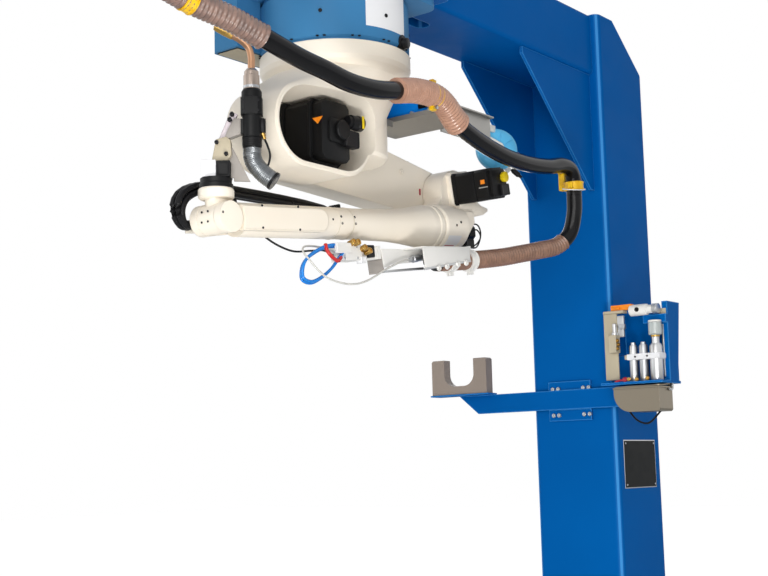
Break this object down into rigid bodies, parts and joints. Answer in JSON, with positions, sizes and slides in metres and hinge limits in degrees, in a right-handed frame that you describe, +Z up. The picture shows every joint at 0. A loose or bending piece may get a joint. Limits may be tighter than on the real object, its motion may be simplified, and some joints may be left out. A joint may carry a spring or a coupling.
{
  "type": "robot positioner",
  "caption": "Blue gallows mast carrying a cream six-axis welding robot upside down, with dress hose, torch rest and torch cleaning station.",
  "frame": {"origin": "centre of the column's foot on the underside of the base plate, which stands on the floor", "axes": "+Z up, +X towards the back of the mast so that the beam and the robot reach towards -X, +Y to the far side"},
  "size_m": [2.5291, 0.884, 2.7],
  "materials": {
    "mast_paint": "satin",
    "base_paint": "satin",
    "arm_paint": "satin",
    "motor_black": "satin",
    "clip_plastic": "satin",
    "hose_rubber": "satin",
    "rest_metal": "matte",
    "bare_metal": "satin",
    "stainless": "satin",
    "plate_black": "satin",
    "feeder_paint": "satin",
    "sheet_grey": "satin",
    "balancer_paint": "satin",
    "clamp_white": "satin",
    "air_tube": "glossy",
    "copper": "satin"
  },
  "bodies": {
    "mast": {"base_plate": "mast_paint", "foot_ribs": "mast_paint", "column": "mast_paint", "beam": "mast_paint", "knee_gussets": "mast_paint", "mount_plate": "mast_paint", "robot_base": "base_paint", "connector_box": "base_paint", "hose_boom": "mast_paint", "hose_clamp_beam": "clip_plastic", "hose_beam": "hose_rubber", "shelf_arm": "mast_paint", "torch_rest": "rest_metal", "station_frame": "mast_paint", "station_cutter": "bare_metal", "station_cylinders": "bare_metal", "drip_tray": "stainless", "nameplate": "plate_black"},
    "swivel_body": {"swivel": "arm_paint", "shoulder_motor": "motor_black", "wire_feeder": "feeder_paint", "feeder_bracket": "sheet_grey", "spring_balancer": "balancer_paint", "hose_holder": "clip_plastic", "hose_hanger": "clip_plastic", "hose_swivel": "hose_rubber"},
    "lower_arm_body": {"lower_arm": "arm_paint", "hose_rear": "hose_rubber"},
    "elbow_body": {"elbow": "arm_paint", "elbow_motor": "motor_black", "roll_motor": "motor_black", "hose_bracket": "sheet_grey", "hose_clamps": "clamp_white", "valve_block": "clamp_white", "air_lines": "air_tube", "hose_elbow": "hose_rubber"},
    "forearm_body": {"forearm": "arm_paint", "forearm_cover": "arm_paint", "wrist_cable": "hose_rubber"},
    "wrist_body": {"wrist": "arm_paint"},
    "tool_body": {"tool_flange": "motor_black", "torch_mount": "bare_metal", "torch_body": "motor_black", "torch_neck": "copper", "torch_conduit": "stainless"}
  },
  "joints": [
    {"name": "swivel_turn", "type": "hinge", "parent": "mast", "child": "swivel_body", "pos_m": [-1.3, 0, 2.302], "axis": [0, 0, 1], "range_deg": [-170, 170], "deforming": ["hose_beam"]},
    {"name": "lower_arm_swing", "type": "hinge", "parent": "swivel_body", "child": "lower_arm_body", "pos_m": [-1.425, 0, 2.082], "axis": [0, 1, 0], "range_deg": [-2, 25], "deforming": ["hose_rear"]},
    {"name": "elbow_fold", "type": "hinge", "parent": "lower_arm_body", "child": "elbow_body", "pos_m": [-0.78276, 0, 2.02242], "axis": [0, -1, 0], "range_deg": [-2, 115], "deforming": ["hose_elbow"]},
    {"name": "forearm_roll", "type": "hinge", "parent": "elbow_body", "child": "forearm_body", "pos_m": [-1.73751, 0, 1.82655], "axis": [-0.9945, 0, -0.1045], "range_deg": [-155, 155]},
    {"name": "wrist_bend", "type": "hinge", "parent": "forearm_body", "child": "wrist_body", "pos_m": [-1.73751, 0, 1.82655], "axis": [0, -1, 0], "range_deg": [0, 185], "deforming": ["wrist_cable"]},
    {"name": "tool_roll", "type": "hinge", "parent": "wrist_body", "child": "tool_body", "pos_m": [-1.73751, 0, 1.82655], "axis": [0, 0, 1], "range_deg": [-220, 5]}
  ]
}
